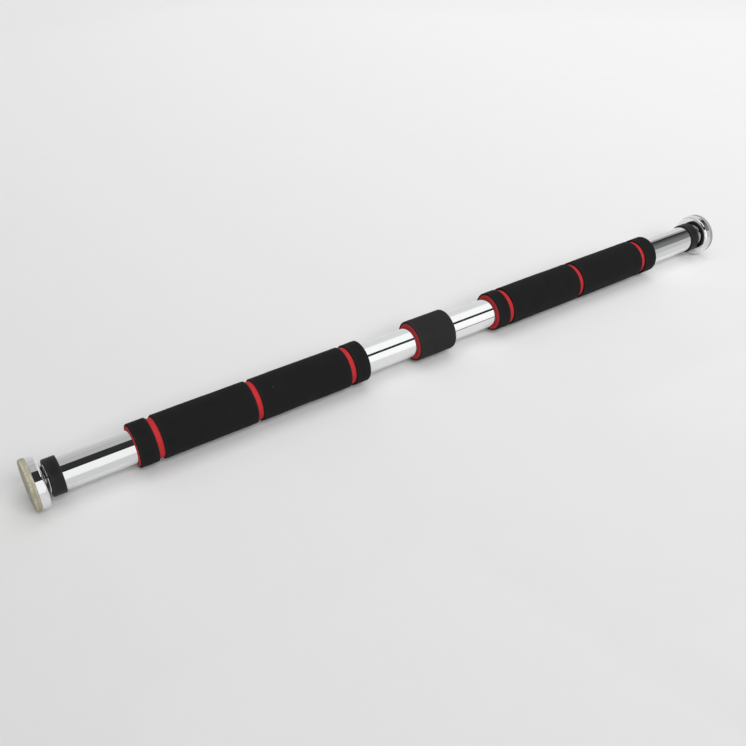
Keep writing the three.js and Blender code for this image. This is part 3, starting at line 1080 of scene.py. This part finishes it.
# %% Card helpers
def card_material(shade):
    """A surface that gives off one even grey and reflects nothing."""
    material, _, shader = new_material(f"card_{shade:.3f}", Roughness=1.0, Specular_IOR_Level=0.0)
    shader.inputs["Base Color"].default_value = (0.0, 0.0, 0.0, 1.0)
    shader.inputs["Emission Color"].default_value = (shade, shade, shade, 1.0)
    shader.inputs["Emission Strength"].default_value = 1.0
    return material


ROOM_HALF = 1.5


def on_room(angle):
    """The place (y, z) on the room's walls and ceiling that the bar sees at an angle over it."""
    turn = math.radians(angle)
    away = Vector((-math.cos(turn), math.sin(turn)))
    return away * ROOM_HALF / max(abs(away.x), abs(away.y))


def card(name, x_range, angles, shade):
    """A card inside the room between two angles, cut in two where it crosses an edge of the room."""
    stops = [angles[0], *(edge for edge in (45, 135) if angles[0] < edge < angles[1]), angles[1]]
    material = card_material(shade)
    for first, last in zip(stops, stops[1:]):
        low, high = on_room(first), on_room(last)
        corners = [(x, *place) for place, xs in ((low, x_range), (high, x_range[::-1])) for x in xs]
        quad(f"{name}_{first}", corners, material, card_only=True)


# %% [markdown]
# The bar is seen from its left, so its left end mirrors what is straight above it, and every place
# further right mirrors something further right. That makes three stretches of the room: left, middle and
# right. Each is a row of angles with the shade of grey that ends there.

# %% Cards
DARK = 0.032
LEFT, MIDDLE, RIGHT = (-2.5, 0.35), (0.35, 1.65), (1.65, 6.0)
ROOM = {
    "left": (LEFT, [
        (0, None), (42.5, 1.0), (86, DARK), (116, 0.50), (119, 0.40), (150, 0.56), (180, 0.66),
    ]),
    "middle": (MIDDLE, [
        (0, None), (42.5, 1.10), (58.5, DARK), (110, 1.08), (120, 0.86), (180, 0.76),
    ]),
    "right": (RIGHT, [
        (0, None), (32, 0.56), (52, 0.21), (70, 0.18), (87, 0.10), (107, 0.04), (124, 0.38), (180, 0.74),
    ]),
}
for zone, (x_range, steps) in ROOM.items():
    for (start_angle, _), (end_angle, shade) in zip(steps, steps[1:]):
        card(f"{zone}_card", x_range, (start_angle, end_angle), shade)
    print(f"{zone} stretch of the room: {len(steps) - 1} shades")

# %% [markdown]
# Below its front horizon the tube mirrors the table in front of it. More cards lie there, just above the
# table: far ones that carry the front wall's shade nearer to the bar, near ones that tone down the
# table's own brightness, and a narrow dark one that gives the tube a dark line right of the ring.

# %% Cards on the table
ROOM_FRONT = 0.01 - ROOM_HALF
FAR_CARD_START = -0.23
NEAR_CARD_START = -0.03
NEAR_CARD_END = FAR_CARD_START + 1 * MM


def table_card(name, y_range, near_x, far_x, shade):
    """A card lying on the table, given by the y and the x range of its near and its far edge."""
    near_y, far_y = y_range
    height = 1 * MM - FOOT_RADIUS
    corners = [(near_x[0], near_y, height), (near_x[1], near_y, height)]
    corners += [(far_x[1], far_y, height), (far_x[0], far_y, height)]
    quad(f"table_card_{name}", corners, card_material(shade), card_only=True)
    print(f"table card {name}: shade {shade}")


far_cards = (FAR_CARD_START, ROOM_FRONT)
near_cards = (NEAR_CARD_START, NEAR_CARD_END)
table_card("left", far_cards, near_x=(-0.42, -0.15), far_x=(-0.9, 0.2), shade=1.0)
table_card("middle", (-0.41, ROOM_FRONT), near_x=(-0.05, 0.24), far_x=(0.2, 0.86), shade=1.10)
table_card("ring_right", (-0.173, ROOM_FRONT), near_x=(0.10, 0.30), far_x=(0.86, 1.65), shade=1.08)
table_card("gap", (-0.115, -0.172), near_x=(0.065, 0.27), far_x=(0.10, 0.30), shade=DARK)
table_card("right", far_cards, near_x=(0.50, 0.75), far_x=(1.68, 3.5), shade=0.56)
table_card("left_near", near_cards, near_x=(-0.40, -0.22), far_x=(-0.385, -0.15), shade=0.67)
table_card("right_near", near_cards, near_x=(0.33, 0.48), far_x=(0.50, 0.75), shade=0.70)

# %% [markdown]
# Two large soft lights do the rest: a low one from the front, which reaches under the bar and keeps its
# shadow pale, and a high one overhead. A weak even world light fills in.


# %% Lights
def soft_light(name, place, target, size, power):
    """A rectangular light that mirrors don't show."""
    data = bpy.data.lights.new(name, "AREA")
    data.shape = "RECTANGLE"
    data.size, data.size_y = size
    data.energy = power
    lamp = bpy.data.objects.new(name, data)
    lamp.location = place
    lamp.rotation_euler = (Vector(target) - Vector(place)).to_track_quat("-Z", "Y").to_euler()
    lamp.visible_glossy = False
    bpy.context.collection.objects.link(lamp)
    print(f"{name}: {power} W")


soft_light("front_softbox", place=(0.1, -3.0, 3.0), target=(0.0, 0.1, 0.0), size=(3.0, 2.2), power=142)
soft_light("overhead_softbox", place=(0.4, 0.2, 4.0), target=(0.4, 0.1, 0.0), size=(3.4, 3.0), power=56)

WORLD_BRIGHTNESS = 0.40
world = bpy.data.worlds.new("studio")
world.use_nodes = True
background = world.node_tree.nodes["Background"]
background.inputs["Color"].default_value = (1.0, 1.0, 1.0, 1.0)
background.inputs["Strength"].default_value = WORLD_BRIGHTNESS
bpy.context.scene.world = world
bpy.context.scene.view_settings.view_transform = "Standard"
